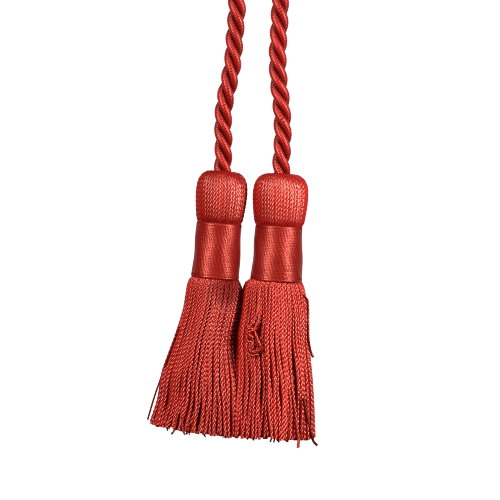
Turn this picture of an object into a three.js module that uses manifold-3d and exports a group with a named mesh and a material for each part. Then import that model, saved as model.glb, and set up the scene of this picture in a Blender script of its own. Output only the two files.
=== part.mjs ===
// Chair tie: a twisted cord hung by its middle, with a bound yarn tassel on each end.
// Millimetres, +Z up, front towards -Y. The origin is the underside of the cord's top
// bend, where a hook or a rail carries it.

import * as THREE from 'three';
import { mergeVertices } from 'three/addons/utils/BufferGeometryUtils.js';
import Module from 'manifold-3d';

// Cord: plies laid together with a left-hand twist
const PLY_COUNT = 3;
const PLY_RADIUS = 2;
const PLY_OFFSET = 1.5; // from the cord's centreline to the centre of a ply
const LAY_LENGTH = 21; // length of cord in which a ply makes one turn
const FIRST_PLY_TURN = 0.05; // where the first ply starts, in turns from the back
const STEPS_PER_LAY = 10;
const POINTS_PER_PLY = 4;

// Cord route, X and Z of its centreline, from the left tassel over the bend to the right one
const CORD_ROUTE = [
  [-13.3, -106.7],
  [-13.2, -101.5],
  [-13.05, -94],
  [-13.25, -86.3],
  [-12.5, -78.7],
  [-10.85, -71.1],
  [-9.5, -63.5],
  [-8.9, -56],
  [-8.25, -48.7],
  [-7.95, -41.4],
  [-9, -33.9],
  [-12, -27],
  [-15, -20],
  [-16, -12.5],
  [-14.8, -6.4],
  [-11.3, -1.2],
  [-6.1, 2.3],
  [0, 3.5],
  [6.1, 2.3],
  [11.3, -1.2],
  [14.8, -6.4],
  [16, -12.5],
  [15, -20],
  [12.2, -27],
  [9.3, -33.9],
  [8.35, -41.4],
  [8.15, -48.7],
  [7.7, -56],
  [7.4, -63.5],
  [7.75, -71.1],
  [8.65, -78.7],
  [9.25, -86.3],
  [9.35, -94],
  [8.85, -101.5],
  [8.9, -107.7],
];

// Head: yarn turned over the cord's end, each row at a drop below the head's top,
// with its radius as a share of the head's own
const HEAD_PROFILE = [
  { drop: 0.35, share: 0.5 },
  { drop: 0, share: 0.6 },
  { drop: 1.2, share: 0.76 },
  { drop: 2.6, share: 0.89 },
  { drop: 4.8, share: 0.97 },
  { drop: 8, share: 1 },
  { drop: 14, share: 0.97 },
  { drop: 19.8, share: 0.88 },
];
const HEAD_YARNS = 34;
const HEAD_YARN_RELIEF = 0.4; // depth of the groove between two yarns
const SEAT_DROP = 1.9; // floor of the dimple that takes the cord's end
const SEAT_RADIUS = 3.95;

// Neck: the bundle inside the band, which swells into a collar just below it
const NECK_TOP_DROP = 17;
const NECK_SIDES = 32;
const COLLAR_TOP_DROP = 42.4;
const COLLAR_SHOULDER_DROP = 43;
const COLLAR_BOTTOM_DROP = 43.8;
const COLLAR_OVERHANG = 0.4; // beyond the band's lower edge

// Band: thread wound over the neck
const BAND_TOP_DROP = 20.1;
const BAND_BOTTOM_DROP = 42;
const BAND_EDGE = 0.5; // rounding of the winding's first and last turns
const BAND_CLEARANCE = 0.35;
const BAND_SIDES = 40;

// Skirt: rings of yarns, each ring's size a share of the outer one's
const SKIRT_RINGS = [
  { yarns: 38, share: 1, sides: 4 },
  { yarns: 28, share: 0.8, sides: 3 },
  { yarns: 18, share: 0.58, sides: 3 },
  { yarns: 9, share: 0.32, sides: 3 },
];
const YARN_CORNER = 0.68; // corner radius of a yarn's section, as a share of its width

// Skirt rows, from the roots in the collar down to the cut ends
const SKIRT_ROWS = [
  { drop: 43, yarnWidth: 0.95 },
  { drop: 45, yarnWidth: 1.1 },
  { drop: 53, yarnWidth: 1.2 },
  { drop: 63, yarnWidth: 1.35 },
  { drop: 79, yarnWidth: 1.55 },
  { drop: 98, yarnWidth: 1.6 },
];
const ROOT_SWAY = 0.06; // sideways scatter of a yarn either way, as a share of its spacing
const END_SWAY = 0.18;
const END_TUCK = 0.04; // inward scatter of the yarns' ends, as a share of the ring
const CUT_SCATTER = 0.9; // uneven cut, either way

// Tassels: place of the head's top, lean in degrees towards -X, radii, how far the cut lies
// below the last skirt row and its slope, the skirt's outline in each skirt row, and the
// yarns of the outer ring that stand out or hang longer
const TASSELS = [
  {
    side: 'left',
    x: -13.19,
    z: -105.3,
    lean: 4.3,
    headRadius: 9.75,
    neckRadius: 7.4,
    bandRadii: [8.6, 8.8, 9.15],
    cutBelow: 1.4,
    cutSlope: 0.03,
    skirt: [
      { shift: 0, halfWidth: 8.3, halfDepth: 8.3 },
      { shift: -0.1, halfWidth: 10.3, halfDepth: 10.2 },
      { shift: -0.75, halfWidth: 10.55, halfDepth: 11.2 },
      { shift: -2.35, halfWidth: 11.15, halfDepth: 12.4 },
      { shift: -3.5, halfWidth: 14.4, halfDepth: 14.3 },
      { shift: -3.85, halfWidth: 16, halfDepth: 15.4 },
    ],
    strays: [{ yarn: 19, out: 2.2, longer: -0.5 }],
  },
  {
    side: 'right',
    x: 8.97,
    z: -106.3,
    lean: 2.75,
    headRadius: 10.5,
    neckRadius: 7.7,
    bandRadii: [8.95, 9.35, 9.9],
    cutBelow: 2.1,
    cutSlope: 0.025,
    skirt: [
      { shift: 0, halfWidth: 8.7, halfDepth: 8.7 },
      { shift: -0.7, halfWidth: 11.7, halfDepth: 10.6 },
      { shift: -0.35, halfWidth: 13, halfDepth: 11.6 },
      { shift: -0.5, halfWidth: 14, halfDepth: 12.7 },
      { shift: 1.4, halfWidth: 14.35, halfDepth: 14.3 },
      { shift: 2.6, halfWidth: 15.15, halfDepth: 15.4 },
    ],
    strays: [
      { yarn: 0, out: 0.7, longer: 1.8 },
      { yarn: 32, out: 0, longer: 3 },
    ],
  },
];

const YARN_COLOUR = 0xb8352d;
const YARN_ROUGHNESS = 0.55;
const TURN = 2 * Math.PI;

const wasm = await Module();
wasm.setup();

// A repeatable scatter from -1 to 1 for a numbered piece and a numbered use.
function scatter(piece, use) {
  const wave = Math.sin(piece * 12.9898 + use * 78.233) * 43758.5453;
  return 2 * (wave - Math.floor(wave)) - 1;
}

// Moves every point of a geometry with one function.
function reshape(geometry, move) {
  const points = geometry.getAttribute('position');
  const point = new THREE.Vector3();
  for (let i = 0; i < points.count; i += 1) {
    point.fromBufferAttribute(points, i);
    move(point);
    points.setXYZ(i, point.x, point.y, point.z);
  }
  return geometry;
}

// A body turned about the Z axis from [radius, drop] points that run from its top down.
function turned(profile, sides) {
  const points = profile.map(([radius, drop]) => new THREE.Vector2(radius, -drop));
  return new THREE.LatheGeometry(points.reverse(), sides).rotateX(Math.PI / 2);
}

// A closed solid for joining, with shared corners merged and empty triangles left out.
function solidOf(geometry) {
  geometry.deleteAttribute('normal');
  geometry.deleteAttribute('uv');
  const merged = mergeVertices(geometry);
  const index = merged.getIndex().array;
  const triangles = [];
  for (let i = 0; i < index.length; i += 3) {
    const corners = index.slice(i, i + 3);
    if (new Set(corners).size === corners.length) {
      triangles.push(...corners);
    }
  }
  const vertProperties = merged.getAttribute('position').array;
  const triVerts = new Uint32Array(triangles);
  return new wasm.Manifold(new wasm.Mesh({ numProp: 3, vertProperties, triVerts }));
}

// The three.js geometry of solids joined into one.
function joined(solids) {
  const mesh = wasm.Manifold.union(solids).getMesh();
  const geometry = new THREE.BufferGeometry();
  geometry.setAttribute('position', new THREE.BufferAttribute(mesh.vertProperties, 3));
  geometry.setIndex(new THREE.BufferAttribute(mesh.triVerts, 1));
  geometry.computeVertexNormals();
  return geometry;
}

function yarnMesh(name, geometry) {
  const material = new THREE.MeshStandardMaterial({ color: YARN_COLOUR, roughness: YARN_ROUGHNESS });
  const mesh = new THREE.Mesh(geometry, material);
  mesh.name = name;
  return mesh;
}

// The outline of round plies lying side by side, seen along the cord.
function cordSection() {
  const count = PLY_COUNT * POINTS_PER_PLY;
  const points = [];
  for (let i = 0; i < count; i += 1) {
    const fromPly = ((i % POINTS_PER_PLY) / POINTS_PER_PLY) * (TURN / PLY_COUNT);
    const nearest = Math.min(fromPly, TURN / PLY_COUNT - fromPly);
    const across = PLY_OFFSET * Math.sin(nearest);
    const radius = PLY_OFFSET * Math.cos(nearest) + Math.sqrt(PLY_RADIUS ** 2 - across ** 2);
    const angle = (i / count) * TURN;
    points.push(new THREE.Vector2(radius * Math.cos(angle), radius * Math.sin(angle)));
  }
  return new THREE.Shape(points);
}

// The cord: its section, turned steadily along the route.
function cord() {
  const places = CORD_ROUTE.map(([x, z]) => new THREE.Vector3(x, 0, z));
  const route = new THREE.CatmullRomCurve3(places, false, 'catmullrom', 0.5);
  const lays = route.getLength() / LAY_LENGTH;
  const steps = Math.round(lays * STEPS_PER_LAY);
  const straight = new THREE.ExtrudeGeometry(cordSection(), { depth: 1, steps, bevelEnabled: false });
  const back = new THREE.Vector3(0, 1, 0);
  const middle = new THREE.Vector2();
  const bent = reshape(straight, (point) => {
    const share = THREE.MathUtils.clamp(point.z, 0, 1);
    const side = new THREE.Vector3().crossVectors(route.getTangentAt(share), back);
    const offset = new THREE.Vector2(point.x, point.y);
    offset.rotateAround(middle, TURN * (FIRST_PLY_TURN - lays * share));
    point.copy(route.getPointAt(share));
    point.addScaledVector(back, offset.x);
    point.addScaledVector(side, offset.y);
  });
  return yarnMesh('cord', joined([solidOf(bent)]));
}

// The ribbed head, with a groove between every two yarns and a dimple for the cord.
function head(tassel) {
  const rows = HEAD_PROFILE.map(({ drop, share }) => [tassel.headRadius * share, drop]);
  const bottom = HEAD_PROFILE.at(-1).drop;
  const profile = [[0, SEAT_DROP], [SEAT_RADIUS, SEAT_DROP], ...rows, [0, bottom]];
  const sides = 2 * HEAD_YARNS;
  return reshape(turned(profile, sides), (point) => {
    const radius = Math.hypot(point.x, point.y);
    const side = Math.round((Math.atan2(point.y, point.x) / TURN) * sides);
    if (radius > SEAT_RADIUS + HEAD_YARN_RELIEF && side % 2 !== 0) {
      const grooved = 1 - HEAD_YARN_RELIEF / tassel.headRadius;
      point.x *= grooved;
      point.y *= grooved;
    }
  });
}

// The neck inside the band and the collar from which the skirt's yarns spring.
function neck(tassel) {
  const bandEdge = tassel.bandRadii.at(-1);
  const collar = bandEdge + COLLAR_OVERHANG;
  const profile = [
    [0, NECK_TOP_DROP],
    [tassel.neckRadius, NECK_TOP_DROP],
    [tassel.neckRadius, COLLAR_TOP_DROP],
    [bandEdge - COLLAR_OVERHANG, COLLAR_TOP_DROP],
    [collar, COLLAR_SHOULDER_DROP],
    [collar, COLLAR_BOTTOM_DROP],
    [0, COLLAR_BOTTOM_DROP],
  ];
  return turned(profile, NECK_SIDES);
}

// The wound band, a sleeve that clears the neck.
function band(tassel) {
  const inner = tassel.neckRadius + BAND_CLEARANCE;
  const [top, middle, bottom] = tassel.bandRadii;
  const profile = [
    [inner, BAND_TOP_DROP],
    [top - BAND_EDGE, BAND_TOP_DROP],
    [top, BAND_TOP_DROP + BAND_EDGE],
    [middle, (BAND_TOP_DROP + BAND_BOTTOM_DROP) / 2],
    [bottom, BAND_BOTTOM_DROP - BAND_EDGE],
    [bottom - BAND_EDGE, BAND_BOTTOM_DROP],
    [inner, BAND_BOTTOM_DROP],
    [inner, BAND_TOP_DROP],
  ];
  return yarnMesh(`band_${tassel.side}`, joined([solidOf(turned(profile, BAND_SIDES))]));
}

// A yarn's section of a few sides, with one side facing along +Y.
function yarnSection(sides) {
  const points = [];
  for (let corner = 0; corner < sides; corner += 1) {
    const angle = TURN / 4 + ((corner + 0.5) / sides) * TURN;
    points.push(new THREE.Vector2(YARN_CORNER * Math.cos(angle), YARN_CORNER * Math.sin(angle)));
  }
  return new THREE.Shape(points);
}

// One yarn of the skirt: its section carried down the skirt's rows, flat side out.
function skirtYarn(tassel, ring, number, piece) {
  const lastRow = SKIRT_ROWS.length - 1;
  const stray = tassel.strays.find(({ yarn }) => yarn === piece) ?? { out: 0, longer: 0 };
  const sway = scatter(piece, 1);
  const tuck = stray.out > 0 ? 0 : END_TUCK * Math.abs(scatter(piece, 2));
  const longer = tassel.cutBelow + CUT_SCATTER * scatter(piece, 3) + stray.longer;
  const shape = { depth: lastRow, steps: lastRow, bevelEnabled: false };
  const straight = new THREE.ExtrudeGeometry(yarnSection(ring.sides), shape);
  return reshape(straight, (point) => {
    const row = Math.round(point.z);
    const atEnd = row === lastRow ? 1 : 0;
    const { drop, yarnWidth } = SKIRT_ROWS[row];
    const { shift, halfWidth, halfDepth } = tassel.skirt[row];
    const swayShare = THREE.MathUtils.lerp(ROOT_SWAY, END_SWAY, row / lastRow);
    const angle = (TURN / ring.yarns) * (number + sway * swayShare);
    const size = ring.share * (1 - (tuck * row) / lastRow);
    const inset = yarnWidth / 2 - atEnd * stray.out;
    const x = shift + (size * halfWidth - inset) * Math.cos(angle);
    const y = (size * halfDepth - inset) * Math.sin(angle);
    const tangent = yarnWidth * point.x;
    const radial = yarnWidth * point.y;
    point.x = x - tangent * Math.sin(angle) + radial * Math.cos(angle);
    point.y = y + tangent * Math.cos(angle) + radial * Math.sin(angle);
    point.z = -drop - atEnd * (longer + tassel.cutSlope * x);
  });
}

// Head, neck and skirt in one solid: the same yarns run through all three.
function yarnBody(tassel) {
  const solids = [solidOf(head(tassel)), solidOf(neck(tassel))];
  let piece = 0;
  for (const ring of SKIRT_RINGS) {
    for (let number = 0; number < ring.yarns; number += 1) {
      solids.push(solidOf(skirtYarn(tassel, ring, number, piece)));
      piece += 1;
    }
  }
  return yarnMesh(`tassel_${tassel.side}`, joined(solids));
}

function tasselGroup(tassel) {
  const group = new THREE.Group();
  group.position.set(tassel.x, 0, tassel.z);
  group.rotation.y = THREE.MathUtils.degToRad(tassel.lean);
  group.add(yarnBody(tassel), band(tassel));
  return group;
}

const chairTie = new THREE.Group();
chairTie.add(cord());
for (const tassel of TASSELS) {
  chairTie.add(tasselGroup(tassel));
}

export default chairTie;
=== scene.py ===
"""Chair tie with two tassels: the yarns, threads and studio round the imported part."""

import random
from functools import partial
from math import copysign, cos, exp, pi, radians, sin, sqrt

import bpy
from bpy.types import Node, NodeSocket, Operator, Panel, PropertyGroup, Scene
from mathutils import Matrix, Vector


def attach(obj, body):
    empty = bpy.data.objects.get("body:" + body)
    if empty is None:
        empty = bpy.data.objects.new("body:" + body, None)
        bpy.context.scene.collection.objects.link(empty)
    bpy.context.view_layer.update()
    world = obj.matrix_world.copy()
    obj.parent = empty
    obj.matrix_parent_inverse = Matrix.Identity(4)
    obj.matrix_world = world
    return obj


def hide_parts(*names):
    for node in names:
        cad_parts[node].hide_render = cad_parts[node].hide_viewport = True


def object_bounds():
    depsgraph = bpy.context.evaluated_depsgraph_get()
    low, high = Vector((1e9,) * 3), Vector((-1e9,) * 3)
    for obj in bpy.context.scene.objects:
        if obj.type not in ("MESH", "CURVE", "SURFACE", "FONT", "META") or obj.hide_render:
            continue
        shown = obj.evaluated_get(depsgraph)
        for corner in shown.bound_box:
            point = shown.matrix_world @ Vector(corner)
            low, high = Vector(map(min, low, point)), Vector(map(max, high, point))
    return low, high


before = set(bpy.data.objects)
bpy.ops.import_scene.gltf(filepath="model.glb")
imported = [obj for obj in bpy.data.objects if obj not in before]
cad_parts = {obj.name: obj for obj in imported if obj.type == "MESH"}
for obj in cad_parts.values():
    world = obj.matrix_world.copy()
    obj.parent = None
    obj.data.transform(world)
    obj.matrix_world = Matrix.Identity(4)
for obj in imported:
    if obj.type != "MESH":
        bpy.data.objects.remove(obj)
CAD_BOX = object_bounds()

bl_info = {
    "name": "Chair tie with tassels",
    "version": (1, 0, 0),
    "blender": (4, 5, 0),
    "location": "3D View > Sidebar > Chair tie",
    "description": "Twisted cord, bound heads and hanging skirts of a chair tie",
    "category": "Object",
}

MM = 0.001
FULL_TURN = 2 * pi
BODY = "root"

# The cord's centreline as (X, Z) in millimetres, from the left head over the top bend to the right one
CORD_ROUTE = [
    (-13.3, -106.7), (-13.2, -101.5), (-13.05, -94), (-13.25, -86.3), (-12.5, -78.7),
    (-10.85, -71.1), (-9.5, -63.5), (-8.9, -56), (-8.25, -48.7), (-7.95, -41.4),
    (-9, -33.9), (-12, -27), (-15, -20), (-16, -12.5), (-14.8, -6.4),
    (-11.3, -1.2), (-6.1, 2.3), (0, 3.5), (6.1, 2.3), (11.3, -1.2),
    (14.8, -6.4), (16, -12.5), (15, -20), (12.2, -27), (9.3, -33.9),
    (8.35, -41.4), (8.15, -48.7), (7.7, -56), (7.4, -63.5), (7.75, -71.1),
    (8.65, -78.7), (9.25, -86.3), (9.35, -94), (8.85, -101.5), (8.9, -107.7),
]
ROUTE_SAMPLES = 24
FIRST_PLY_TURN = 0.05
PLY_STEP = 1.2 * MM
THREAD_POINTS = 4
THREAD_STEPS = 16
CORD_TONE = 0.5
PLY_TONE_STEP = 0.125
# Threads lie closer in some places than in others, and the plies are a little lumpy, each by two
# waves in millimetres to the radian. The next ply is as far on in them as NEXT_PLY says
THREAD_DRIFT = 0.16
DRIFT_WAVES = (1.9, 4.3)
PLY_LUMP = 0.035
LUMP_WAVES = (1.3, 2.9)
NEXT_PLY = 40

# Where each tassel hangs and how wide it is, in millimetres and degrees. The skirt's yarns part
# sooner at a low parting, its locks lie back by up to the tuck, and mingle is how far it leans over
# to the other one. A skirt row is (drop below the head's top, sideways shift, half width, half depth)
TASSELS = {
    "left": {
        "x": -13.19, "z": -105.3, "lean": 4.3, "head_radius": 9.75, "neck_radius": 5.2,
        "band_radii": (8.6, 8.8, 9.15), "cut_below": 0.7, "cut_slope": 0.072, "mingle": 3.2,
        # A painted shadow darkens the skirt under the band, right of its middle
        "hollow": 0, "painted_shadow": 1.05, "parting": 0.42, "tuck": 0.1,
        # This tassel's lower tone is painted shade, which makes its yarns darker than the right tassel's
        "tone": 0.05, "band_tone": 1, "seed": 18,
        "skirt": [
            (39.2, 0, 7.9, 7.9), (40.8, 0, 8.7, 8.7), (42.2, -0.05, 9.8, 9.7),
            (44.5, -0.15, 10.4, 10.3), (53, -0.75, 10.55, 11.2), (63, -2.35, 11.15, 12.4),
            (79, -3.4, 14.3, 14.3), (88.5, -3.4, 15.05, 14.9), (98, -4.1, 16.5, 15.4),
        ],
    },
    "right": {
        "x": 8.97, "z": -106.3, "lean": 2.75, "head_radius": 10.5, "neck_radius": 5.5,
        "band_radii": (8.95, 9.35, 9.9), "cut_below": 1.5, "cut_slope": -0.006, "mingle": -3.2,
        "hollow": 2.2, "painted_shadow": 0, "parting": 0.65, "tuck": 0.05,
        "tone": 0.27, "band_tone": 0.8, "seed": 51,
        "skirt": [
            (39.2, 0, 8.4, 8.4), (40.8, -0.2, 9.6, 9.4), (42.2, -0.7, 11, 10.2),
            (44.5, -0.7, 11.8, 10.7), (53, -0.35, 13, 11.6), (63, -0.5, 14, 12.7),
            (79, 1.4, 14.35, 14.3), (98, 2.6, 15.15, 15.4),
        ],
    },
}

# The head's outer profile as (drop in millimetres, share of the head's radius), from the
# dimple round the cord, over the crown and down under the band
HEAD_PROFILE = [
    (2.6, 0.44), (1.1, 0.46), (0.3, 0.51), (0, 0.58), (0.25, 0.67),
    (1, 0.78), (2.3, 0.885), (4.4, 0.965), (7.6, 1), (10.8, 0.995),
    (13.6, 0.97), (16.5, 0.935), (18.6, 0.9), (20, 0.83), (22, 0.78),
]
# A yarn's width, the depth of its middle and how far it strays, in shares of its room round the head
HEAD_FILL = 3
HEAD_INSET = 1.2
HEAD_STRAY = 0.2
# Turns by which a yarn's twist is ahead of its neighbour's, and how far that varies
HEAD_MARK_STEP = 0.0075
HEAD_JITTER = 0.035
HEAD_TONE_SPREAD = 0.2
CROWN_FALL = 0.75
# Painted shade on the head, as (drop, share of it): the crown and the foot under the band are darkened, the
# bulge between is not
HEAD_SHADE = [(0, 1), (2.3, 0.8), (6, 0), (13, 0), (18, 0.9), (22, 1)]
HEAD_SHADE_DEPTH = 0.38

# The neck under the winding: flutes that overlap a little, in one bundle
NECK_FLUTES = 34
NECK_OVERLAP = 1.1
NECK_POINTS = 3
NECK_STEP = 2 * MM
NECK_STATIONS = (18, 26, 34, 42.5)
NECK_TONE = 0.2

# The winding thread: its share of the full width at an end, and what it gains in each turn from there
BAND_END = 0.3
BAND_GAIN = 0.3
BAND_PLIES = 5
BAND_PLY_SHARE = 0.445
BAND_POINTS = 3
BAND_STEP = 0.55 * MM
BAND_STATIONS = 28
TUCKED_STATIONS = 4
# How unevenly its own twist lies, by two waves along the winding
BAND_DRIFT = 0.04
DRIFT_PER_TURN = 2.3
DRIFT_PER_RADIAN = 0.7
# Uneven bulges of the band: how high, then how many go round it and the drop in which they change
BAND_LUMP = 0.1
FEW_LUMPS = (3, 2.3)
MANY_LUMPS = (5, 3)

# Rings of skirt yarns from the outside in: how many, their share of the girth and their layer
SKIRT_RINGS = [
    (72, 1, "outer"), (62, 0.96, "middle"), (40, 0.86, "inner"), (28, 0.7, "inner"),
    (18, 0.48, "inner"), (9, 0.29, "inner"), (3, 0.1, "inner"),
]
# How each layer is made: points round a ply, steps in one turn of the twist, how much slacker
# than the outer yarns it is twisted, and how far its plies overlap. Yarns deep inside hardly show
SKIRT_LAYERS = {"outer": (3, 7, 1, 1.5), "middle": (3, 6, 1, 1.5), "inner": (2, 5, 1.5, 1.6)}
HEAD_LAYER = (2, 18, 1.05, 1.4)
SKIRT_STATIONS = [39.2, 40.8, 42.2, 44.5, 48.5, 53, 57, 60, 63, 66, 71, 79, 88.5, 98]
SKIRT_TOP = 42.2
SKIRT_FOOT = 98
# Yarns are pressed narrow under the band and swell to their full width below it
SKIRT_SWELL = [(39.2, 0.75), (40.8, 0.78), (42.2, 0.8), (44.5, 0.83), (55, 0.92), (70, 1), (98, 0.9)]
GIRTH_SPREAD = (0.88, 1.1)
INNER_GIRTH = 1.35
# The skirt's yarns get a higher tone than the head's: painted light that makes the same yarn paler on the
# skirt
SKIRT_TONE = 0.44
SKIRT_TONE_SPREAD = 0.2
# Yarns in a lock, the share by which they are drawn together, and how far the lock swings and bows
LOCK_SIZES = (1, 1, 2, 2, 3, 4)
LOCK_DRAW = (0.1, 0.32)
LOCK_SWAY = 0.09
LOCK_BEND = 0.08
STRAND_SWAY = 0.06
STRAND_WAVE = 0.045
STRAND_WAVE_RUN = 9
STRAND_TUCK = 0.065
# Share of the deepest tuck that leaves the skirt's girth as it was, and a tuck's share at the band
MEAN_TUCK = 0.45
LEAST_TUCK = 0.6
# Some yarns cross their neighbours
CROSSING_SHARE = 0.16
CROSSING_SWAY = 0.22
CROSSING_SPREAD = (0.4, 1)
SKIRT_MARK_STEP = 0.22
SKIRT_JITTER = 0.05
# Turns of twist that a yarn has lost at its cut end
SKIRT_UNTWIST = 1
CUT_SCATTER = 0.6
CUT_TILT = 0.05
# Yarns at the back lean over fully this soon, in shares of the way back and of the fall
BEHIND_BACK = 3
BEHIND_FALL = 6
# The two skirts close up in front: from which share of the fall, in what share more, and how far
CLOSING_START = 0.45
CLOSING_LENGTH = 0.3
CLOSING_SHARE = 0.45
CLOSING_FORWARD = 7
CLOSING_SPREAD = (0.75, 1.1)
CLOSING_POWER = 4
CLOSING_BACK = 0.2
# Middle and size of the right skirt's snarl and of the painted shadow on the left skirt under the band
SNARL = {"drop": 62.5, "x": -7.6, "half_height": 4.5, "half_width": 2.4}
PAINTED_SHADOW_SPOT = {"drop": 43.5, "x": 5, "half_height": 8, "half_width": 7}

# Ends that have worked loose on the front, in millimetres. Each is (width, how proud it
# lies, tone, route as drop and sideways place)
LOOSE_ENDS = {
    "left": [
        # Its low tone is painted shade: a thin yarn in shade, dark against the white behind it
        (0.8, 0, -0.5, [
            (60, -12.2), (68, -14.4), (75.3, -16.4), (81.3, -18), (88.1, -19.8), (96.9, -21.7),
        ]),
        (0.9, 0.3, -0.3, [(92, -10.2), (96, -10.5), (98.4, -11), (99.9, -11.9)]),
        (0.9, 0.3, -0.1, [(93, -8.3), (97, -8), (98.7, -7.3), (99.5, -6.6)]),
    ],
    "right": [
        (1.1, 0.2, 0, [
            (45.9, 10.4), (47.7, 12), (50, 12.5), (56, 12.8), (62.4, 13.2), (66.9, 14.2), (69.5, 15.4),
        ]),
        # The snarl's four yarns below have a high tone, a painted highlight that makes them paler where
        # they stand proud
        (1.1, 0.8, 0.7, [
            (53, -5.9), (55, -6.1), (57.5, -7.1), (59.3, -7.5), (60.8, -6.9), (62.4, -6.1), (64.9, -5),
        ]),
        (1.4, 1.2, 0.8, [
            (53.7, -7), (56, -7.8), (57.8, -9.1), (58.4, -10.3), (58.7, -9.3), (58.7, -7.8),
            (59.5, -8.1), (60, -10), (60.9, -10.2), (61.2, -8.8), (62.1, -7.7),
        ]),
        (1.4, 1.2, 0.6, [
            (61.9, -10.2), (63.4, -9.9), (63.5, -8.4), (64.3, -7.7), (65.5, -8.7),
            (66.8, -8.9), (67.4, -7.4), (66.7, -5.7), (65.5, -4.8),
        ]),
        (1.4, 1.1, 0.8, [(65.5, -10.1), (67.5, -9.7), (68.5, -8.8), (68.7, -7.2), (67.8, -5.5)]),
        (1.3, 0.4, 0.6, [(80, 7.8), (85.9, 8.8), (95.3, 10.4), (100, 11.1), (102.6, 10.9)]),
        (1.1, 0.3, -0.2, [(84, 12.4), (89.5, 13.6), (97, 15.5), (100.7, 16.8), (102.9, 18.4)]),
    ],
}
# Points over which a loose end rises to its place
RISE_POINTS = 2
# Frays: how many, how far out on the skirt, how deep inside it and how high above the cut they start
FRAY_COUNT = 16
FRAY_REACH = 0.92
FRAY_DEPTH = 0.8
FRAY_ROOTS = (3, 1.5)
FRAY_BEND = 0.3
FRAY_DRIFT = 1
FRAY_LENGTHS = (0.3, 1.5)
FRAY_WIDTHS = (0.5, 0.9)
FRAY_TONES = (-0.5, 0.1)

# Soft boxes round the middle of the picture: azimuth and elevation in degrees, distance, width and
# height in metres, power in watts. Two tall ones give the winding an upright gleam left and right
# of its middle, and a wide one above lights the crowns
SOFT_BOXES = {
    "soft_box_left": (-42, 20, 0.9, 0.2, 0.5, 17),
    "soft_box_right": (54, 18, 0.18, 0.042, 0.11, 0.83),
    "soft_box_above": (0, 58, 0.6, 0.3, 0.2, 2),
}
# The room is dim and warm in front, and turns white between these two shares of the way back
ROOM_FRONT = (0.17, 0.02, 0.018, 1)
WHITE = (1, 1, 1, 1)
ROOM_TURN = {"From Min": 0.35, "From Max": 0.95}
FLOOR_RADIUS = 1.2
FLOOR_SIDES = 96
FLOOR_GLOW = 0.5
FLOOR_MOTTLE = 40 * MM
FLOOR_SHADE = 0.97


def linear(code):
    """An sRGB hex colour as linear red, green and blue."""
    channels = [int(code[i : i + 2], 16) / 255 for i in (1, 3, 5)]
    return tuple(c / 12.92 if c <= 0.04045 else ((c + 0.055) / 1.055) ** 2.4 for c in channels)


def fill(node, inputs):
    """Sets each input of a node, or links it to a socket or to another node's first output."""
    for key, value in inputs.items():
        source = value.outputs[0] if isinstance(value, Node) else value
        if isinstance(source, NodeSocket):
            node.id_data.links.new(source, node.inputs[key])
        else:
            node.inputs[key].default_value = source


def add_node(tree, kind, settings=None, inputs=None):
    """One node with its settings, or just the name of its operation, and its inputs."""
    node = tree.nodes.new(kind)
    if isinstance(settings, str):
        settings = {"operation": settings}
    for name, value in (settings or {}).items():
        setattr(node, name, value)
    fill(node, inputs or {})
    return node


# Settings that a user would change


def length_setting(name, description, default):
    """A length in metres."""
    return bpy.props.FloatProperty(
        name=name, description=description, default=default, subtype="DISTANCE", unit="LENGTH"
    )


def count_setting(name, description, default):
    """A whole number of two or more."""
    return bpy.props.IntProperty(name=name, description=description, default=default, min=2)


def colour_setting(name, description, code):
    """A colour, from its sRGB hex value."""
    return bpy.props.FloatVectorProperty(
        name=name, description=description, default=linear(code), subtype="COLOR", size=3
    )


class CordSettings(PropertyGroup):
    """Sizes and dye of the twisted cord."""

    ply_radius: length_setting("Ply radius", "Radius of one ply of the cord", 1.58 * MM)
    ply_offset: length_setting("Ply offset", "From the cord's centreline to the middle of a ply", 1.9 * MM)
    ply_count: count_setting("Plies", "How many plies are laid together", 3)
    lay_length: length_setting("Lay length", "Length of cord in which a ply makes one turn", 21 * MM)
    thread_count: count_setting("Threads", "Threads wound side by side round one ply", 3)
    thread_relief: length_setting(
        "Thread relief", "How far the middle of a thread's arc lies off the ply's middle", 0.12 * MM
    )
    thread_pitch: length_setting("Thread pitch", "Length of ply in which a thread makes one turn", 2.4 * MM)
    dye: colour_setting("Dye", "Colour of the cord's yarn", "#700804")


class TasselSettings(PropertyGroup):
    """Sizes and dye of the tassels' plied yarn."""

    yarn_width: length_setting("Yarn width", "Width of a yarn, which presses into its neighbours", 1.6 * MM)
    mark_spacing: length_setting("Mark spacing", "From one ply to the next along a yarn", 1.6 * MM)
    plies: count_setting("Plies", "Plies round a yarn of the skirt", 3)
    head_plies: count_setting("Head plies", "Plies round a yarn of the head, where it is pressed flat", 8)
    head_spacing: length_setting("Head spacing", "From one yarn to the next round a head", 1.3 * MM)
    dye: colour_setting("Dye", "Colour of the tassels' yarn", "#7C0904")


class BandSettings(PropertyGroup):
    """Sizes and dye of the thread wound round each neck."""

    thread_width: length_setting("Thread width", "Width of the thread, whose turns press together", 4 * MM)
    turn_pitch: length_setting("Turn pitch", "Height from one turn of the thread to the next", 0.6 * MM)
    top: length_setting("Top", "Where the winding starts, below the head's top", 19.5 * MM)
    bottom: length_setting("Bottom", "Where the winding ends, below the head's top", 41.2 * MM)
    twists: bpy.props.FloatProperty(
        name="Twists", description="Turns of its own twist in one turn round the neck", default=9.167, min=1
    )
    dye: colour_setting("Dye", "Colour of the winding thread", "#570603")


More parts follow.
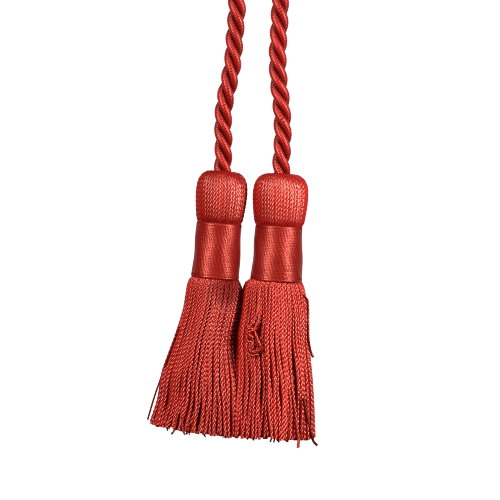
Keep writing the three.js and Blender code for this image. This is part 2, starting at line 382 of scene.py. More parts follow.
class StageSettings(PropertyGroup):
    """Camera, lights and floor."""

    distance: length_setting("Camera distance", "From the camera to the middle of the picture", 0.9)
    height: bpy.props.FloatProperty(
        name="Camera height", description="Angle of the camera above the horizon",
        default=radians(3), subtype="ANGLE", unit="ROTATION",
    )
    width: length_setting("Picture width", "Width of what the picture shows", 0.19)
    aim: bpy.props.FloatVectorProperty(
        name="Aim", description="Middle of the picture",
        default=(-3.04 * MM, 0, -135.5 * MM), subtype="XYZ", unit="LENGTH", size=3,
    )
    floor_drop: length_setting("Floor drop", "From the lowest strand down to the floor", 0.25)
    floor_colour: colour_setting("Floor colour", "Colour of the acrylic floor", "#EDEBE8")


# Materials

# Kinds of node and settings that come up often
MATH = "ShaderNodeMath"
VECTOR_MATH = "ShaderNodeVectorMath"
MAP_RANGE = "ShaderNodeMapRange"
NAMED_VALUE = "GeometryNodeInputNamedAttribute"
STORE_VALUE = "GeometryNodeStoreNamedAttribute"
ON_POINTS = {"data_type": "FLOAT", "domain": "POINT"}

# The dye takes unevenly, over about 12 mm, and is deeper in strands of a low tone
DYE_PATCH = 12 * MM
PATCH_LEVELS = {"From Min": 0.3, "From Max": 0.7, "To Min": -0.06, "To Max": 0.06}
TONE_LEVELS = {"From Min": -0.8, "To Min": 0.274, "To Max": 1.12}
# Tones between which dark yarn gains its full gleam
SHINE_TONES = {"From Min": -0.5, "From Max": 0.3}
# How far a flank faces outwards where it gets all its light
OPEN_FACING = 0.85
# Filaments lie along each ply. Real ones are finer than the picture can show, so only a few are
# drawn to a ply, and strands of another tone have others
FILAMENT_RUN = 9 * MM
FILAMENT_DEPTH = 0.06 * MM
FILAMENT_SHUFFLE = 53
GLOSS_SPREAD = 0.08

# In each look, crest and groove set the painted highlight on a ply's crest and the painted shade in its
# groove, and flank sets the painted shade on flanks turned towards a neighbour
# Plied rayon yarn, satin: bright flecks on every ply and dark red between them. Its filaments
# mirror light at many depths, so its IOR is above rayon's own 1.53
TASSEL_LOOK = {
    "crest": 1.5, "groove": 0.4, "flank": 0.9, "filaments": 6, "roughness": 0.38,
    "ior": 1.84, "shine": 0.5, "dark_shine": 0.075, "gleam": "#FFA593",
}
# Rayon thread wound tight under tension: smoother, so its gleam gathers in upright streaks
BAND_LOOK = {
    "crest": 1.3, "groove": 0.5, "flank": 0.8, "filaments": 3, "roughness": 0.4,
    "ior": 1.53, "shine": 0.9, "dark_shine": 0.9, "gleam": "#FF7C6C",
}
# Rayon cord of plies wrapped in thread: pale flecks on each ply and deep shade between plies
CORD_LOOK = {
    "crest": 1.5, "groove": 0.4, "flank": 0.48, "filaments": 4, "roughness": 0.4,
    "ior": 1.53, "shine": 0.55, "dark_shine": 0.55, "gleam": "#FFA294",
}


def new_material(name):
    """A material, its shader, and what adds a node to it."""
    material = bpy.data.materials.new(name)
    material.use_nodes = True
    tree = material.node_tree
    return material, tree.nodes["Principled BSDF"], partial(add_node, tree)


def rayon_material(name, dye, look):
    """Dyed rayon filament yarn: a painted highlight makes it pale where the plies stand proud, and painted
    shade makes it deep red in their grooves.
    """
    material, shader, node = new_material(name)
    across, run, tone, facing = [
        node("ShaderNodeAttribute", {"attribute_name": key}).outputs["Fac"]
        for key in ("across", "run", "tone", "facing")
    ]
    place = node("ShaderNodeTexCoord").outputs["Object"]

    # Painted highlight makes the ply's crest paler and painted shade makes its groove darker
    ramp = node("ShaderNodeValToRGB", inputs={"Fac": across})
    crest, groove = ramp.color_ramp.elements
    crest.position = 0.05
    crest.color = (*[min(1, c * look["crest"]) for c in dye], 1)
    groove.position = 0.5
    groove.color = (*[c * look["groove"] for c in dye], 1)

    patches = node("ShaderNodeTexNoise", inputs={"Vector": place, "Scale": 1 / DYE_PATCH, "Detail": 2})
    patch_level = node(MAP_RANGE, inputs={"Value": patches, **PATCH_LEVELS})
    strand_level = node(MAP_RANGE, inputs={"Value": tone, **TONE_LEVELS})
    level = node(MATH, "ADD", {0: strand_level, 1: patch_level})
    # Light is lost on the flanks that turn towards a neighbour
    open_level = node(MAP_RANGE, inputs={"Value": facing, "From Max": OPEN_FACING, "To Min": look["flank"]})
    shade = node(MATH, "MULTIPLY", {0: level, 1: open_level})
    colour = node("ShaderNodeHueSaturation", inputs={"Color": ramp, "Value": shade})

    along = node(MATH, "MULTIPLY", {0: run, 1: 1 / FILAMENT_RUN})
    over = node(MATH, "MULTIPLY", {0: across, 1: look["filaments"]})
    shuffle = node(MATH, "MULTIPLY", {0: tone, 1: FILAMENT_SHUFFLE})
    spot = node("ShaderNodeCombineXYZ", inputs={0: over, 1: along, 2: shuffle})
    filaments = node("ShaderNodeTexNoise", inputs={"Vector": spot, "Scale": 1, "Detail": 1})
    bump = node("ShaderNodeBump", inputs={"Height": filaments, "Strength": 0.5, "Distance": FILAMENT_DEPTH})
    glossy = look["roughness"] - GLOSS_SPREAD
    dull = look["roughness"] + GLOSS_SPREAD
    roughness = node(MAP_RANGE, inputs={"Value": filaments, "To Min": glossy, "To Max": dull})

    # Light that passes through the filaments comes back dyed, so the gleam is strong and pink,
    # and dark yarn gleams less
    shine = look["shine"]
    if look["dark_shine"] < shine:
        ends = {"To Min": look["dark_shine"], "To Max": shine}
        shine = node(MAP_RANGE, inputs={"Value": tone, **SHINE_TONES, **ends})
    fill(shader, {"Base Color": colour, "Roughness": roughness, "Normal": bump, "IOR": look["ior"]})
    fill(shader, {"Specular IOR Level": shine, "Specular Tint": (*linear(look["gleam"]), 1)})
    return material


def floor_material(colour):
    """Opal acrylic sheet, matt and lit a little from below: even and pale, with a faint mottle."""
    material, shader, node = new_material("opal_acrylic_matt_cast")
    place = node("ShaderNodeTexCoord").outputs["Object"]
    mottle = node("ShaderNodeTexNoise", inputs={"Vector": place, "Scale": 1 / FLOOR_MOTTLE, "Detail": 3})
    ramp = node("ShaderNodeValToRGB", inputs={"Fac": mottle})
    low, high = ramp.color_ramp.elements
    low.color = (*[c * FLOOR_SHADE for c in colour], 1)
    high.color = (*colour, 1)
    fill(shader, {"Base Color": ramp, "Roughness": 0.8})
    fill(shader, {"Emission Color": (*colour, 1), "Emission Strength": FLOOR_GLOW})
    return material


# Twisted strands, by Geometry Nodes

SECTION_COUNTS = ("Plies", "Points per ply")
SECTION_SIZES = ("Ply radius", "Ply offset", "Ring spacing", "Twist per metre")
# Share of a ply's width, from its crest, past which it lies in a groove
GROOVE_EDGE = 0.45


def twisted_strand_tree():
    """Strands from paths: a section with one lobe for each ply, which turns along its path."""
    tree = bpy.data.node_groups.new("Twisted strand", "GeometryNodeTree")
    ports = {"Paths": "NodeSocketGeometry", "Yarn": "NodeSocketMaterial"}
    ports |= dict.fromkeys(SECTION_COUNTS, "NodeSocketInt")
    ports |= dict.fromkeys(SECTION_SIZES, "NodeSocketFloat")
    for name, kind in ports.items():
        tree.interface.new_socket(name, in_out="INPUT", socket_type=kind)
    tree.interface.new_socket("Strands", in_out="OUTPUT", socket_type="NodeSocketGeometry")
    node = partial(add_node, tree)
    given = node("NodeGroupInput").outputs
    plies = given["Plies"]
    ply_radius = given["Ply radius"]
    ply_offset = given["Ply offset"]
    outward = node(NAMED_VALUE, {"data_type": "FLOAT_VECTOR"}, {"Name": "outward"})
    phase, width, groove_share = [
        node(NAMED_VALUE, {"data_type": "FLOAT"}, {"Name": key}) for key in ("phase", "width", "across")
    ]

    # Smooth path with evenly spaced rings
    path = node("GeometryNodeMeshToCurve", inputs={"Mesh": given["Paths"]})
    smooth = node("GeometryNodeCurveSplineType", {"spline_type": "CATMULL_ROM"}, {"Curve": path})
    spaced = {"Curve": smooth, "Length": given["Ring spacing"]}
    rings = node("GeometryNodeResampleCurve", {"mode": "LENGTH"}, spaced)
    length = node("GeometryNodeSplineParameter").outputs["Length"]
    measured = node(STORE_VALUE, ON_POINTS, {"Geometry": rings, "Name": "run", "Value": length})

    # The section's upward side points outwards, then turns with the twist
    tangent = node("GeometryNodeInputTangent")
    lengthwise = node(VECTOR_MATH, "PROJECT", {0: outward, 1: tangent})
    square = node(VECTOR_MATH, "SUBTRACT", {0: outward, 1: lengthwise})
    upward = node(VECTOR_MATH, "NORMALIZE", {0: square})
    turn = node(MATH, "MULTIPLY_ADD", {0: length, 1: given["Twist per metre"], 2: phase})
    angle = node(MATH, "MULTIPLY", {0: turn, 1: FULL_TURN})
    turning = {"Vector": upward, "Axis": tangent, "Angle": angle}
    turned = node("ShaderNodeVectorRotate", {"rotation_type": "AXIS_ANGLE"}, turning)
    framed = node("GeometryNodeSetCurveNormal", {"mode": "FREE"}, {"Curve": measured, "Normal": turned})

    # Lobed section: the joined outline of round plies set about the middle
    count = node(MATH, "MULTIPLY", {0: plies, 1: given["Points per ply"]})
    round_section = {"Resolution": count, "Radius": 1}
    circle = node("GeometryNodeCurvePrimitiveCircle", {"mode": "RADIUS"}, round_section)
    factor = node("GeometryNodeSplineParameter").outputs["Factor"]
    in_plies = node(MATH, "MULTIPLY", {0: factor, 1: plies})
    share = node(MATH, "FRACT", {0: in_plies})
    from_crest = node(MATH, "SUBTRACT", {0: share, 1: 0.5})
    ply_angle = node(MATH, "DIVIDE", {0: FULL_TURN, 1: plies})
    bearing = node(MATH, "MULTIPLY", {0: from_crest, 1: ply_angle})
    sine = node(MATH, "SINE", {0: bearing})
    cosine = node(MATH, "COSINE", {0: bearing})
    aside = node(MATH, "MULTIPLY", {0: sine, 1: ply_offset})
    aside_squared = node(MATH, "MULTIPLY", {0: aside, 1: aside})
    radius_squared = node(MATH, "MULTIPLY", {0: ply_radius, 1: ply_radius})
    rest_squared = node(MATH, "SUBTRACT", {0: radius_squared, 1: aside_squared})
    rest = node(MATH, "SQRT", {0: rest_squared})
    reach = node(MATH, "MULTIPLY_ADD", {0: cosine, 1: ply_offset, 2: rest})
    spoke = node("GeometryNodeInputPosition")
    lobe = node(VECTOR_MATH, "SCALE", {0: spoke, "Scale": reach})
    section = node("GeometryNodeSetPosition", inputs={"Geometry": circle, "Position": lobe})
    across = node(MATH, "ABSOLUTE", {0: from_crest})
    marked = node(STORE_VALUE, ON_POINTS, {"Geometry": section, "Name": "across", "Value": across})

    # Strands with closed ends
    sweep = {"Curve": framed, "Profile Curve": marked, "Scale": width, "Fill Caps": True}
    swept = node("GeometryNodeCurveToMesh", inputs=sweep)
    normal = node("GeometryNodeInputNormal")
    facing = node(VECTOR_MATH, "DOT_PRODUCT", {0: normal, 1: outward}).outputs["Value"]
    sided = node(STORE_VALUE, ON_POINTS, {"Geometry": swept, "Name": "facing", "Value": facing})
    shaded = node("GeometryNodeSetShadeSmooth", inputs={"Geometry": sided})
    # Plies are round but meet in a crisp groove
    groove = node(MATH, "GREATER_THAN", {0: groove_share, 1: GROOVE_EDGE})
    crease = {"Geometry": shaded, "Selection": groove, "Shade Smooth": False}
    creased = node("GeometryNodeSetShadeSmooth", {"domain": "EDGE"}, crease)
    whole = node("GeometryNodeRealizeInstances", inputs={"Geometry": creased})
    dyed = node("GeometryNodeSetMaterial", inputs={"Geometry": whole, "Material": given["Yarn"]})
    node("NodeGroupOutput", inputs={"Strands": dyed})
    return tree


def strand_section(*values):
    """A section of strands, from its counts and sizes in the order named above."""
    return dict(zip(SECTION_COUNTS + SECTION_SIZES, values, strict=True))


def path_mesh(name, strands):
    """Bare paths, with what each point says of its strand."""
    places = []
    edges = []
    for strand in strands:
        first = len(places)
        places += strand
        edges += [(i, i + 1) for i in range(first, len(places) - 1)]
    mesh = bpy.data.meshes.new(name)
    mesh.from_pydata([place["point"] for place in places], edges, [])
    outward = mesh.attributes.new("outward", "FLOAT_VECTOR", "POINT")
    outward.data.foreach_set("vector", [c for place in places for c in place["outward"]])
    for key in ("width", "phase", "tone"):
        values = [place[key] for place in places]
        mesh.attributes.new(key, "FLOAT", "POINT").data.foreach_set("value", values)
    return mesh


def make_strands(name, strands, section, material, node):
    """A piece of twisted strands as a plain mesh at the origin, which stands for its CAD node."""
    tree = bpy.data.node_groups.get("Twisted strand") or twisted_strand_tree()
    maker = bpy.data.objects.new(name + "_paths", path_mesh(name + "_paths", strands))
    modifier = maker.modifiers.new("Twisted strand", "NODES")
    modifier.node_group = tree
    values = {**section, "Yarn": material}
    for item in tree.interface.items_tree:
        if item.in_out == "INPUT" and item.name in values:
            modifier[item.identifier] = values[item.name]
    scene = bpy.context.scene
    scene.collection.objects.link(maker)
    depsgraph = bpy.context.evaluated_depsgraph_get()
    mesh = bpy.data.meshes.new_from_object(
        maker.evaluated_get(depsgraph), preserve_all_data_layers=True, depsgraph=depsgraph
    )
    mesh.name = name
    if len(mesh.polygons) == 0:
        raise RuntimeError(f"{name}: no strands were made")
    paths = maker.data
    bpy.data.objects.remove(maker)
    bpy.data.meshes.remove(paths)
    piece = bpy.data.objects.new(name, mesh)
    scene.collection.objects.link(piece)
    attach(piece, BODY)
    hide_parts(node)
    return piece


def tassel_piece(side, name, strands, section, dye):
    """A piece of one tassel, in the yarn that both tassels share."""
    yarn = "rayon_yarn_plied_satin"
    material = bpy.data.materials.get(yarn) or rayon_material(yarn, dye, TASSEL_LOOK)
    make_strands(f"tassel_{side}_{name}", strands, section, material, f"tassel_{side}")


# Shapes of the cord and the tassels


def curve_value(t, start, leave, end, arrive):
    """The value at t from 0 to 1 on a smooth curve, from its ends and how it leaves and arrives."""
    return (
        start * (2 * t**3 - 3 * t**2 + 1)
        + leave * (t**3 - 2 * t**2 + t)
        + end * (3 * t**2 - 2 * t**3)
        + arrive * (t**3 - t**2)
    )


def smooth_line(route):
    """Close-set points on the smooth curve through a route, with the length so far at each."""
    ends = [2 * route[0] - route[1], *route, 2 * route[-1] - route[-2]]
    line = []
    for before, start, end, after in zip(ends, ends[1:], ends[2:], ends[3:]):
        leave = (end - before) / 2
        arrive = (after - start) / 2
        for sample in range(ROUTE_SAMPLES):
            line.append(curve_value(sample / ROUTE_SAMPLES, start, leave, end, arrive))
    line.append(route[-1])
    lengths = [0.0]
    for a, b in zip(line, line[1:]):
        lengths.append(lengths[-1] + (b - a).length)
    return line, lengths


def even_points(line, lengths, step):
    """Points of a line at even steps along it."""
    count = round(lengths[-1] / step)
    points = []
    place = 0
    for number in range(count + 1):
        goal = lengths[-1] * number / count
        while place < len(line) - 2 and lengths[place + 1] < goal:
            place += 1
        share = (goal - lengths[place]) / (lengths[place + 1] - lengths[place])
        points.append(line[place].lerp(line[place + 1], share))
    return points


def between(rows, drop):
    """The values of a table's rows at a drop, on a smooth curve from row to row."""
    last = len(rows) - 1
    place = max(i for i in range(last) if i == 0 or rows[i][0] <= drop)
    upper, lower = rows[place], rows[place + 1]
    above, below = rows[max(place - 1, 0)], rows[min(place + 2, last)]
    gap = lower[0] - upper[0]
    t = (drop - upper[0]) / gap
    values = []
    for column in range(1, len(upper)):
        leave = gap * (lower[column] - above[column]) / (lower[0] - above[0])
        arrive = gap * (below[column] - upper[column]) / (below[0] - upper[0])
        values.append(curve_value(t, upper[column], leave, lower[column], arrive))
    return values


def beat(place, waves):
    """Two waves multiplied, so that the swings are uneven."""
    return sin(place / waves[0]) * sin(place / waves[1])


def hang(tassel, x, y, drop):
    """A point of a leaning tassel, from millimetres in its own frame to metres in the part's."""
    lean = radians(tassel["lean"])
    across = tassel["x"] + x * cos(lean) - drop * sin(lean)
    up = tassel["z"] - x * sin(lean) - drop * cos(lean)
    return MM * Vector((across, y, up))


def lean_way(tassel, x, y):
    """A level direction of a leaning tassel, in the part's frame."""
    lean = radians(tassel["lean"])
    return Vector((x * cos(lean), y, -x * sin(lean))).normalized()


def yarn_section(settings, plies, points, steps, slack, overlap):
    """The section of the tassels' yarn: round plies that overlap a little."""
    pitch = settings.mark_spacing * plies * slack
    ply_offset = settings.yarn_width / 2 / (1 + overlap * sin(pi / plies))
    ply_radius = settings.yarn_width / 2 - ply_offset
    return strand_section(plies, points, ply_radius, ply_offset, pitch / steps, 1 / pitch)


def cord_strands(points, length, settings):
    """The cord's plies, laid round its centreline."""
    back = Vector((0, 1, 0))
    strands = []
    for ply in range(settings.ply_count):
        strand = []
        for number, point in enumerate(points):
            before = points[max(number - 1, 0)]
            after = points[min(number + 1, len(points) - 1)]
            side = (after - before).normalized().cross(back)
            run = length * number / (len(points) - 1)
            turn = FIRST_PLY_TURN + ply / settings.ply_count - run / settings.lay_length
            way = back * cos(FULL_TURN * turn) + side * sin(FULL_TURN * turn)
            place = run / MM + NEXT_PLY * ply
            strand.append(dict(
                point=point + way * settings.ply_offset,
                outward=way,
                width=1 + PLY_LUMP * beat(place, LUMP_WAVES),
                phase=THREAD_DRIFT * beat(place, DRIFT_WAVES),
                tone=CORD_TONE + PLY_TONE_STEP * ply,
            ))
        strands.append(strand)
    return strands


def head_strands(tassel, settings, rng):
    """Yarns turned over the cord's end: from the dimple over the crown and down under the band."""
    profile = [Vector((share * tassel["head_radius"], drop)) for drop, share in HEAD_PROFILE]
    yarns = round(FULL_TURN * tassel["head_radius"] * MM / settings.head_spacing)
    strands = []
    for number in range(yarns):
        angle = FULL_TURN * (number + rng.uniform(-HEAD_STRAY, HEAD_STRAY)) / yarns
        side = (cos(angle), sin(angle))
        tone = tassel["tone"] + HEAD_TONE_SPREAD * rng.random()
        turn = number * HEAD_MARK_STEP + rng.uniform(-HEAD_JITTER, HEAD_JITTER)
        strand = []
        for place, outer in enumerate(profile):
            before = profile[max(place - 1, 0)]
            after = profile[min(place + 1, len(profile) - 1)]
            along = (after - before).normalized()
            inwards = Vector((-along.y, along.x))
            room = FULL_TURN * outer.x / yarns
            middle = outer + inwards * HEAD_INSET * room
            width = HEAD_FILL * FULL_TURN * middle.x / yarns
            # The crown falls off a little towards the back
            drop = middle.y + CROWN_FALL * (1 + side[1]) * max(0, 1 - middle.y / tassel["head_radius"])
            strand.append(dict(
                point=hang(tassel, middle.x * side[0], middle.x * side[1], drop),
                outward=lean_way(tassel, *side),
                width=width * MM / settings.yarn_width,
                phase=turn,
                # Painted shade darkens the crown and the foot
                tone=tone - HEAD_SHADE_DEPTH * between(HEAD_SHADE, outer.y)[0],
            ))
        strands.append(strand)
    return strands


def neck_bundle(tassel):
    """The neck's yarns under the winding, pressed into one fluted bundle."""
    strand = []
    way = lean_way(tassel, 1, 0)
    for drop in NECK_STATIONS:
        strand.append(dict(point=hang(tassel, 0, 0, drop), outward=way, width=1, phase=0, tone=NECK_TONE))
    return strand


def band_strand(tassel, settings):
    """One long thread wound round the neck, turn below turn, with both ends tucked inside."""
    end_width = BAND_END * settings.thread_width
    turns = (settings.bottom - settings.top - end_width) / settings.turn_pitch
    count = round(turns * BAND_STATIONS)
    top = (settings.top + end_width / 2) / MM
    upper, middle, lower = tassel["band_radii"]
    strand = []
    for number in range(count + 1):
        share = number / count
        angle = FULL_TURN * turns * share
        drop = top + share * turns * settings.turn_pitch / MM
        bulge = 4 * share * (1 - share) * (middle - (upper + lower) / 2)
        # The first and last turns are pressed narrower, so the band ends in a neat edge
        width = min(1, BAND_END + BAND_GAIN * turns * min(share, 1 - share))
        radius = upper + (lower - upper) * share + bulge - width * settings.thread_width / MM / 2
        tucked = max(0, TUCKED_STATIONS - number, number - count + TUCKED_STATIONS) / TUCKED_STATIONS
        few = sin(FEW_LUMPS[0] * angle + 1) * sin(drop / FEW_LUMPS[1])
        many = sin(MANY_LUMPS[0] * angle - drop / MANY_LUMPS[1])
        radius += BAND_LUMP * (few + many) - tucked
        drift = sin(DRIFT_PER_TURN * angle / FULL_TURN) * sin(DRIFT_PER_RADIAN * angle)
        side = (cos(angle), sin(angle))
        strand.append(dict(
            point=hang(tassel, radius * side[0], radius * side[1], drop),
            outward=lean_way(tassel, *side),
            width=width,
            phase=turns * share * settings.twists + BAND_DRIFT * drift,
            tone=tassel["band_tone"],
        ))
    return strand


def lock_places(yarns, rng):
    """What each yarn shares with its lock, a few neighbours that hang together."""
    places = []
    while len(places) < yarns:
        size = min(rng.choice(LOCK_SIZES), yarns - len(places))
        lock = {
            "middle": FULL_TURN * (len(places) + (size - 1) / 2) / yarns,
            "draw": rng.uniform(*LOCK_DRAW),
            "sway": rng.uniform(-LOCK_SWAY, LOCK_SWAY),
            "bend": rng.uniform(-LOCK_BEND, LOCK_BEND),
            "tuck": rng.random(),
            "tone": rng.random(),
        }
        places += [lock] * size
    return places


def off_spot(spot, drop, x):
    """How far a place lies from a spot's middle, squared, with 1 at the spot's edge."""
    off_x = (x - spot["x"]) / spot["half_width"]
    off_drop = (drop - spot["drop"]) / spot["half_height"]
    return off_x**2 + off_drop**2


def skirt_strands(tassel, yarns, share, layer, yarn_width, rng):
    """One ring of the skirt: yarns that leave the band side by side and part into locks as they fall."""
    strands = []
    locks = lock_places(yarns, rng)
    start = rng.random()
    mean_tuck = MEAN_TUCK * (tassel["tuck"] + STRAND_TUCK)
    inner_way = copysign(1, tassel["mingle"])
    for number, lock in enumerate(locks):
        root = FULL_TURN * number / yarns
        drawn = (lock["middle"] - root) * lock["draw"]
        sway = lock["sway"] + rng.uniform(-STRAND_SWAY, STRAND_SWAY)
        if rng.random() < CROSSING_SHARE:
            sway = rng.choice((-1, 1)) * rng.uniform(*CROSSING_SPREAD) * CROSSING_SWAY
        tuck = tassel["tuck"] * lock["tuck"] + rng.uniform(0, STRAND_TUCK)
        wave = rng.uniform(0, FULL_TURN)
        forward = CLOSING_FORWARD * rng.uniform(*CLOSING_SPREAD)
        cut = rng.uniform(-CUT_SCATTER, CUT_SCATTER)
        girth = rng.uniform(*GIRTH_SPREAD) * (INNER_GIRTH if layer == "inner" else 1)
        tone = tassel["tone"] + SKIRT_TONE + SKIRT_TONE_SPREAD * (lock["tone"] + rng.random())
        turn = number * SKIRT_MARK_STEP + rng.uniform(-SKIRT_JITTER, SKIRT_JITTER)
        strand = []
        for drop in SKIRT_STATIONS:
            fall = max(0, drop - SKIRT_TOP) / (SKIRT_FOOT - SKIRT_TOP)
            parted = fall ** tassel["parting"]
            ripple = STRAND_WAVE * fall * sin(wave + STRAND_WAVE_RUN * fall)
            bow = lock["bend"] * sin(pi * fall)
            angle = root + start + (drawn + sway) * parted + (ripple + bow)
            sideways = cos(angle)
            backward = sin(angle)
            shift, half_width, half_depth = between(tassel["skirt"], drop)
            swell = between(SKIRT_SWELL, drop)[0] * girth
            inset = swell * yarn_width / MM / 2
            size = share * (1 + (mean_tuck - tuck) * max(LEAST_TUCK, parted))
            x = shift + (size * half_width - inset) * sideways
            y = (size * half_depth - inset) * backward
            # Beside the other tassel, yarns at the back lean in behind it and the lower ends close up
            inner_side = max(0, inner_way * sideways)
            behind = min(1, max(0, BEHIND_BACK * backward)) * min(1, BEHIND_FALL * fall)
            closing = min(1, max(0, fall - CLOSING_START) / CLOSING_LENGTH)
            x += tassel["mingle"] * inner_side * max(behind, CLOSING_SHARE * closing)
            if backward < CLOSING_BACK:
                y -= forward * inner_side**CLOSING_POWER * closing
            # Under the snarl the front is pressed in
            if backward < 0:
                y += tassel["hollow"] * exp(-off_spot(SNARL, drop, x))
            low = drop
            if drop == SKIRT_FOOT:
                low += tassel["cut_below"] + cut + tassel["cut_slope"] * x + CUT_TILT * (y + half_depth)
            # Right of the left skirt's middle, a painted shadow under the band darkens the yarns
            depth = tassel["painted_shadow"] * exp(-(off_spot(PAINTED_SHADOW_SPOT, drop, x) ** 2))
            strand.append(dict(
                point=hang(tassel, x, y, low),
                outward=lean_way(tassel, sideways, backward),
                width=swell,
                phase=turn - SKIRT_UNTWIST * fall**2,
                tone=tone - depth,
            ))
        strands.append(strand)
    return strands


def loose_strand(tassel, width, proud, tone, route, yarn_width):
    """One loose end that lies on the front of the skirt."""
    strand = []
    for place, (drop, x) in enumerate(route):
        shift, half_width, half_depth = between(tassel["skirt"], min(drop, SKIRT_FOOT))
        aside = min(1, max(-1, (x - shift) / half_width))
        ahead = sqrt(1 - aside**2)
        # It rises to its place over its first points, and a fray starts inside the skirt
        lift = min(proud, proud * place / RISE_POINTS)
        strand.append(dict(
            point=hang(tassel, x, -half_depth * ahead - lift, drop),
            outward=lean_way(tassel, aside, -ahead),
            width=width * MM / yarn_width,
            phase=0,
            tone=tone,
        ))
    return strand


def frays(tassel, rng):
    """Short thin fibres that stick out below the cut, spread over the skirt's front."""
    shift, half_width, _ = tassel["skirt"][-1][1:]
    ends = []
    for _ in range(FRAY_COUNT):
        x = shift + half_width * rng.uniform(-FRAY_REACH, FRAY_REACH)
        cut = SKIRT_FOOT + tassel["cut_below"] + tassel["cut_slope"] * x
        drift = rng.uniform(-FRAY_DRIFT, FRAY_DRIFT)
        length = rng.uniform(*FRAY_LENGTHS)
        route = [(cut - root, x) for root in FRAY_ROOTS]
        route += [(cut, x + FRAY_BEND * drift), (cut + length, x + drift)]
        ends.append((rng.uniform(*FRAY_WIDTHS), -FRAY_DEPTH, rng.uniform(*FRAY_TONES), route))
    return ends


# The stage


def set_camera(scene, settings, aim):
    """A camera that looks at the tassels from a little above."""
    camera = bpy.data.cameras.new("camera")
    camera.sensor_width = 36
    camera.lens = camera.sensor_width * settings.distance / settings.width
    camera.clip_start = 0.05
    camera.clip_end = 20
    eye = bpy.data.objects.new("camera", camera)
    back = Vector((0, -cos(settings.height), sin(settings.height)))
    eye.location = aim + back * settings.distance
    eye.rotation_euler = (-back).to_track_quat("-Z", "Y").to_euler()
    scene.collection.objects.link(eye)
    scene.camera = eye


def add_soft_box(scene, aim, name, azimuth, elevation, distance, width, height, power):
    """A soft box turned to the middle of the picture."""
    lamp = bpy.data.lights.new(name, "AREA")
    lamp.shape = "RECTANGLE"
    lamp.size = width
    lamp.size_y = height
    lamp.energy = power
    box = bpy.data.objects.new(name, lamp)
    turn = radians(azimuth)
    rise = radians(elevation)
    way = Vector((sin(turn) * cos(rise), -cos(turn) * cos(rise), sin(rise)))
    box.location = aim + way * distance
    box.rotation_euler = way.to_track_quat("Z", "Y").to_euler()
    box.visible_camera = False
    scene.collection.objects.link(box)


def set_surround(scene):
    """A white backdrop that lights the rims from behind, with a dim warm room in front."""
    world = bpy.data.worlds.new("white_surround")
    world.use_nodes = True
    world.node_tree.nodes.clear()
    node = partial(add_node, world.node_tree)
    way = node("ShaderNodeTexCoord").outputs["Generated"]
    backward = node("ShaderNodeSeparateXYZ", inputs={0: way}).outputs["Y"]
    glow = node(MAP_RANGE, inputs={"Value": backward, **ROOM_TURN})
    room = node("ShaderNodeValToRGB", inputs={"Fac": glow})
    front, behind = room.color_ramp.elements
    front.color = ROOM_FRONT
    behind.color = WHITE
    # The camera itself sees white all round. Inputs 6 and 7 are the two colours
    rays = node("ShaderNodeLightPath").outputs["Is Camera Ray"]
    seen = node("ShaderNodeMix", {"data_type": "RGBA"}, {0: rays, 6: room, 7: WHITE})
    surround = node("ShaderNodeBackground", inputs={"Color": seen.outputs[2]})
    node("ShaderNodeOutputWorld", inputs={"Surface": surround})
    scene.world = world


def add_floor(scene, settings):
    """A round pale floor well below the tassels."""
    level = CAD_BOX[0].z - settings.floor_drop
    rim = [FULL_TURN * i / FLOOR_SIDES for i in range(FLOOR_SIDES)]
    corners = [(FLOOR_RADIUS * cos(a), FLOOR_RADIUS * sin(a), level) for a in rim]
    mesh = bpy.data.meshes.new("floor")
    mesh.from_pydata(corners, [], [list(range(FLOOR_SIDES))])
    mesh.materials.append(floor_material(settings.floor_colour))
    floor = bpy.data.objects.new("floor", mesh)
    scene.collection.objects.link(floor)
    # It throws no light on the tie, whose shadows stay deep
    floor.visible_diffuse = False
    floor.visible_glossy = False


# Operators


class ChairTieStage(Operator):
    """Camera at the height of the tassels, soft lights and a pale floor."""

    bl_idname = "chair_tie.stage"
    bl_label = "Set the stage"

    def execute(self, context):
        scene = context.scene
        settings = scene.chair_tie_stage
        scene.view_settings.view_transform = "Standard"
        # Twist marks are near the size of a pixel, so nothing smooths them away
        scene.cycles.use_denoising = False
        scene.cycles.filter_width = 1
        aim = Vector(settings.aim)
        set_camera(scene, settings, aim)
        for name, values in SOFT_BOXES.items():
            add_soft_box(scene, aim, name, *values)
        set_surround(scene)
        add_floor(scene, settings)
        return {"FINISHED"}


class ChairTieCord(Operator):
    """The twisted cord, from head to head over the top bend."""

    bl_idname = "chair_tie.cord"
    bl_label = "Lay the cord"

    def execute(self, context):
        settings = context.scene.chair_tie_cord
        route = [MM * Vector((x, 0, z)) for x, z in CORD_ROUTE]
        line, lengths = smooth_line(route)
        points = even_points(line, lengths, PLY_STEP)
        strands = cord_strands(points, lengths[-1], settings)
        relief = settings.thread_relief
        lobe = settings.ply_radius - relief
        pitch = settings.thread_pitch
        section = strand_section(
            settings.thread_count, THREAD_POINTS, lobe, relief, pitch / THREAD_STEPS, 1 / pitch
        )
        material = rayon_material("rayon_cord_hard_twisted", settings.dye, CORD_LOOK)
        piece = make_strands("twisted_cord", strands, section, material, "cord")
        return {"FINISHED"}


class ChairTieHeads(Operator):
    """Each head: yarns turned over the cord's end, and the neck below it."""

    bl_idname = "chair_tie.heads"
    bl_label = "Turn the heads"

    def execute(self, context):
        settings = context.scene.chair_tie_tassel
        for side, tassel in TASSELS.items():
            strands = head_strands(tassel, settings, random.Random(tassel["seed"]))
            section = yarn_section(settings, settings.head_plies, *HEAD_LAYER)
            tassel_piece(side, "head", strands, section, settings.dye)
            neck_radius = tassel["neck_radius"] * MM
            flute = NECK_OVERLAP * (pi * neck_radius / NECK_FLUTES)
            section = strand_section(NECK_FLUTES, NECK_POINTS, flute, neck_radius - flute, NECK_STEP, 0.0)
            tassel_piece(side, "neck", [neck_bundle(tassel)], section, settings.dye)
        return {"FINISHED"}


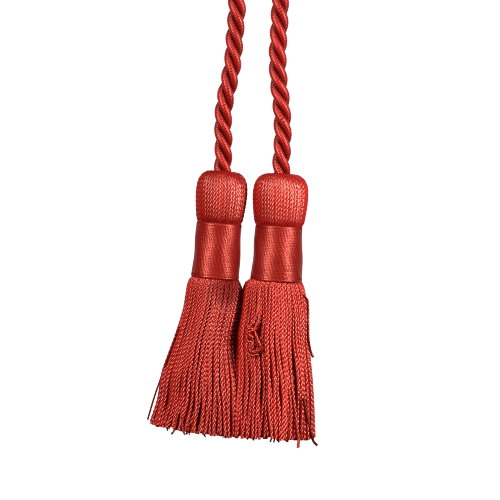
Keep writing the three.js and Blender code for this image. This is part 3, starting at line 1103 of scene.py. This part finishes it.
class ChairTieBands(Operator):
    """Each band: one thread wound round the neck."""

    bl_idname = "chair_tie.bands"
    bl_label = "Wind the bands"

    def execute(self, context):
        settings = context.scene.chair_tie_band
        material = rayon_material("rayon_thread_tight_wound", settings.dye, BAND_LOOK)
        ply_radius = BAND_PLY_SHARE * settings.thread_width
        ply_offset = settings.thread_width / 2 - ply_radius
        section = strand_section(BAND_PLIES, BAND_POINTS, ply_radius, ply_offset, BAND_STEP, 0.0)
        for side, tassel in TASSELS.items():
            strands = [band_strand(tassel, settings)]
            make_strands(f"band_{side}_winding", strands, section, material, f"band_{side}")
        return {"FINISHED"}


class ChairTieSkirts(Operator):
    """Each skirt: rings of loose yarns cut straight across."""

    bl_idname = "chair_tie.skirts"
    bl_label = "Hang the skirts"

    def execute(self, context):
        settings = context.scene.chair_tie_tassel
        for side, tassel in TASSELS.items():
            rng = random.Random(tassel["seed"] + 1)
            layers = {}
            for yarns, share, layer in SKIRT_RINGS:
                strands = skirt_strands(tassel, yarns, share, layer, settings.yarn_width, rng)
                layers.setdefault(layer, []).extend(strands)
            for name, strands in layers.items():
                section = yarn_section(settings, settings.plies, *SKIRT_LAYERS[name])
                tassel_piece(side, f"skirt_{name}", strands, section, settings.dye)
        return {"FINISHED"}


class ChairTieLooseEnds(Operator):
    """The few yarns that have worked loose from each skirt."""

    bl_idname = "chair_tie.loose_ends"
    bl_label = "Add loose ends"

    def execute(self, context):
        settings = context.scene.chair_tie_tassel
        section = yarn_section(settings, settings.plies, *SKIRT_LAYERS["outer"])
        for side, tassel in TASSELS.items():
            ends = LOOSE_ENDS[side] + frays(tassel, random.Random(tassel["seed"] + 2))
            strands = [loose_strand(tassel, *end, settings.yarn_width) for end in ends]
            tassel_piece(side, "loose_ends", strands, section, settings.dye)
        return {"FINISHED"}


OPERATORS = (ChairTieStage, ChairTieCord, ChairTieHeads, ChairTieBands, ChairTieSkirts, ChairTieLooseEnds)
SETTINGS = {
    "chair_tie_stage": StageSettings,
    "chair_tie_cord": CordSettings,
    "chair_tie_tassel": TasselSettings,
    "chair_tie_band": BandSettings,
}


class ChairTiePanel(Panel):
    """Lists the chair tie's settings and the steps that make it."""

    bl_idname = "VIEW3D_PT_chair_tie"
    bl_label = "Chair tie"
    bl_space_type = "VIEW_3D"
    bl_region_type = "UI"
    bl_category = "Chair tie"

    def draw(self, context):
        for name, group in SETTINGS.items():
            box = self.layout.box()
            for setting in group.__annotations__:
                box.prop(getattr(context.scene, name), setting)
        for operator in OPERATORS:
            self.layout.operator(operator.bl_idname)


CLASSES = (*SETTINGS.values(), *OPERATORS, ChairTiePanel)


def register():
    """Makes the settings, the steps and the panel known to Blender."""
    for item in CLASSES:
        bpy.utils.register_class(item)
    for name, group in SETTINGS.items():
        setattr(Scene, name, bpy.props.PointerProperty(type=group))


def unregister():
    """Takes back what register made known."""
    for name in SETTINGS:
        delattr(Scene, name)
    for item in reversed(CLASSES):
        bpy.utils.unregister_class(item)


def main():
    """Makes the whole tie."""
    register()
    bpy.ops.chair_tie.stage()
    bpy.ops.chair_tie.cord()
    bpy.ops.chair_tie.heads()
    bpy.ops.chair_tie.bands()
    bpy.ops.chair_tie.skirts()
    bpy.ops.chair_tie.loose_ends()


if __name__ == "__main__":
    main()
